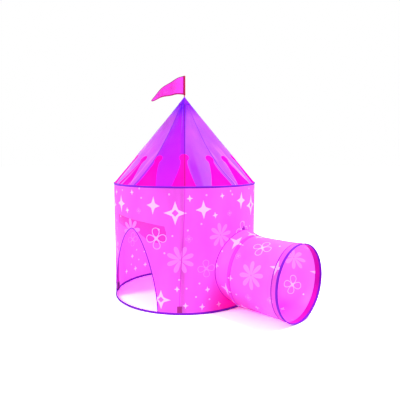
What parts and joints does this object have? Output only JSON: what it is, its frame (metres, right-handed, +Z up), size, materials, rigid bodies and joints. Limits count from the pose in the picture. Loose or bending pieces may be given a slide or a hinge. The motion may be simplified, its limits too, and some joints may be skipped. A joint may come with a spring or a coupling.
{
  "type": "play tent",
  "caption": "Round castle-style play tent with a pointed roof and pennant, an arched doorway with its flap rolled up inside, and a short hooped crawl tunnel on one side.",
  "frame": {"origin": "on the floor, under the middle of the whole object with its tunnel", "axes": "+Z up; -Y is the front; the tunnel points halfway between +X and -Y and the door faces halfway between -X and -Y"},
  "size_m": [1.3762, 1.3014, 1.542],
  "materials": {
    "wall_fabric": "thin pink woven polyester with a satin sheen and a lighter print, light shows through it",
    "roof_fabric": "thin purple satin polyester, lit from inside",
    "binding_tape": "dark purple folded tape, sewn over the edges",
    "flag_fabric": "thin pink satin with a darker sewn edge",
    "spring_steel": "bright drawn wire inside the tape",
    "fibreglass": "pale pulled fibreglass rod",
    "hub_plastic": "white moulded plastic",
    "flagpole_plastic": "glossy pink-red plastic rod",
    "webbing": "grey-violet woven webbing, partly see-through"
  },
  "bodies": {
    "root": {"apex_cap": "roof_fabric", "apex_hub": "hub_plastic", "base_binding": "binding_tape", "base_hoop": "spring_steel", "door_flap_roll": "wall_fabric", "door_piping": "binding_tape", "eave_binding": "binding_tape", "eave_elbow_back": "hub_plastic", "eave_elbow_front": "hub_plastic", "eave_elbow_left": "hub_plastic", "eave_elbow_right": "hub_plastic", "eave_hoop": "spring_steel", "flap_tie_1": "binding_tape", "flap_tie_2": "binding_tape", "pole_pocket_back": "webbing", "pole_pocket_front": "webbing", "pole_pocket_left": "webbing", "pole_pocket_right": "webbing", "port_piping": "binding_tape", "port_tab": "webbing", "roof_gore_1": "roof_fabric", "roof_gore_2": "roof_fabric", "roof_gore_3": "roof_fabric", "roof_gore_4": "roof_fabric", "roof_gore_5": "roof_fabric", "roof_gore_6": "roof_fabric", "roof_gore_7": "roof_fabric", "roof_gore_8": "roof_fabric", "roof_pole_back": "fibreglass", "roof_pole_front": "fibreglass", "roof_pole_left": "fibreglass", "roof_pole_right": "fibreglass", "roof_sleeve_back": "roof_fabric", "roof_sleeve_front": "roof_fabric", "roof_sleeve_left": "roof_fabric", "roof_sleeve_right": "roof_fabric", "tunnel_collar": "wall_fabric", "tunnel_saddle": "wall_fabric", "wall_panel_back_left": "wall_fabric", "wall_panel_back_right": "wall_fabric", "wall_panel_front_left": "wall_fabric", "wall_panel_front_right": "wall_fabric", "wall_pole_back": "fibreglass", "wall_pole_front": "fibreglass", "wall_pole_left": "fibreglass", "wall_pole_right": "fibreglass", "wall_sleeve_back": "wall_fabric", "wall_sleeve_front": "wall_fabric", "wall_sleeve_left": "wall_fabric", "wall_sleeve_right": "wall_fabric"},
    "tunnel_rear": {"rear_hoop": "spring_steel", "rear_hoop_casing": "wall_fabric", "tunnel_sleeve": "wall_fabric"},
    "tunnel_mouth": {"mouth_hoop": "spring_steel", "mouth_binding": "binding_tape", "mouth_hem": "wall_fabric"},
    "flagpole": {"flagpole": "flagpole_plastic"},
    "flag": {"flag": "flag_fabric"}
  },
  "joints": [
    {"name": "rear_hoop_slide", "type": "slide", "parent": "root", "child": "tunnel_rear", "axis": [0.6947, -0.7193, 0], "range_m": [-0.05, 0], "deforming": ["tunnel_collar"]},
    {"name": "mouth_slide", "type": "slide", "parent": "tunnel_rear", "child": "tunnel_mouth", "axis": [0.6947, -0.7193, 0], "range_m": [-0.28, 0], "deforming": ["tunnel_sleeve"]},
    {"name": "flagpole_lift", "type": "slide", "parent": "root", "child": "flagpole", "axis": [0, 0, 1], "range_m": [0, 0.045]},
    {"name": "flag_swivel", "type": "hinge", "parent": "flagpole", "child": "flag", "pos_m": [-0.18431, 0.147, 1.45], "axis": [0, 0, 1], "continuous": true}
  ],
  "couplings": [
    {"joint": "rear_hoop_slide", "follows": "mouth_slide", "ratio": 0.17857}
  ]
}
